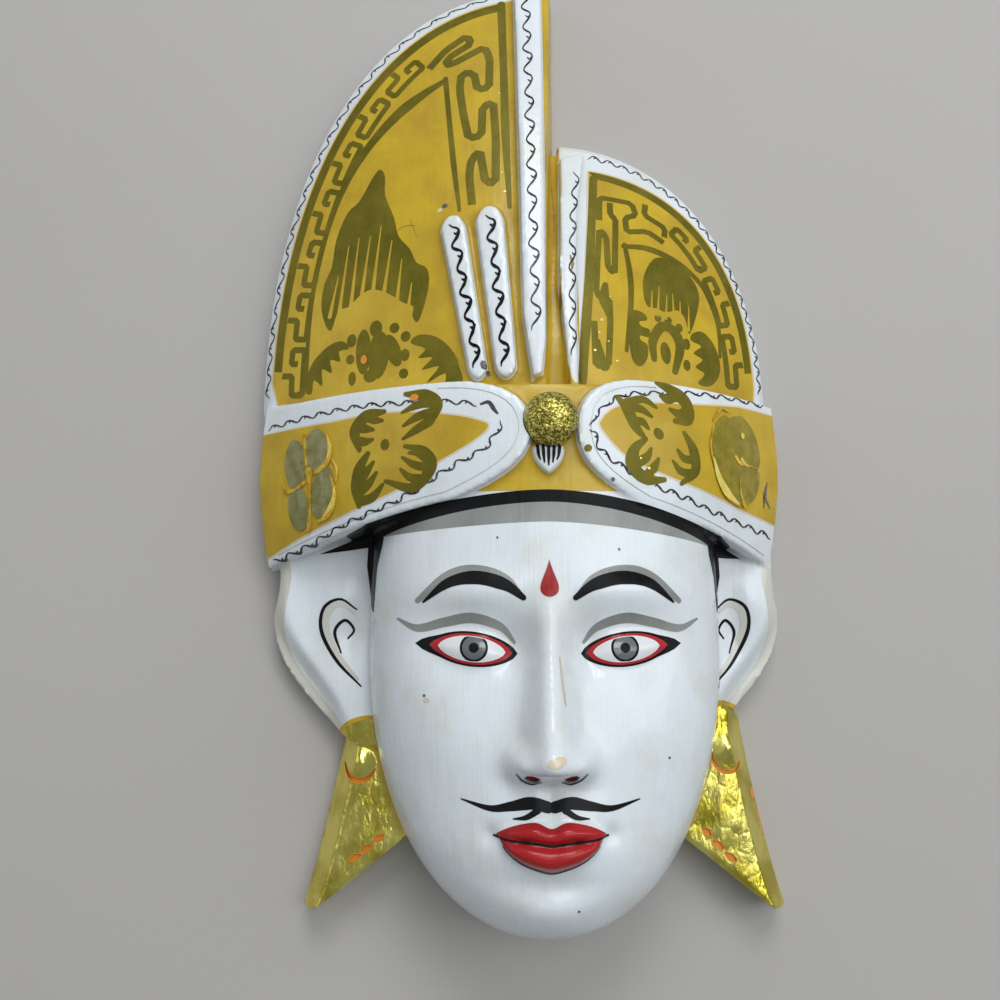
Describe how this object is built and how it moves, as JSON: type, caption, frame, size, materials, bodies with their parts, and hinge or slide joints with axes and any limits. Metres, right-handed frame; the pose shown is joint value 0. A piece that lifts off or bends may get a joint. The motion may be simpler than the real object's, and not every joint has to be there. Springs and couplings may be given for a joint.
{
  "type": "hand-painted carved wooden prince wall mask",
  "caption": "Calm white-lacquered prince face carved in wood with ears, pendant earrings, a leaf headband and an uneven folded ochre and white crown, hollowed behind",
  "frame": {"origin": "On the plane of the mask's flat back, under the middle of its outline", "axes": "+Z out of the face, away from the flat back; +Y from the chin to the crown's tip; +X to the right of someone looking at the face"},
  "size_m": [0.148, 0.275, 0.064],
  "materials": {
    "painted_wood": "glossy white lacquer with ochre, olive-gold, black and red hand painting",
    "gold_glitter": "coarse gold glitter under varnish"
  },
  "bodies": {
    "root": {"carved_mask": "painted_wood", "forehead_jewel": "gold_glitter"}
  },
  "joints": []
}
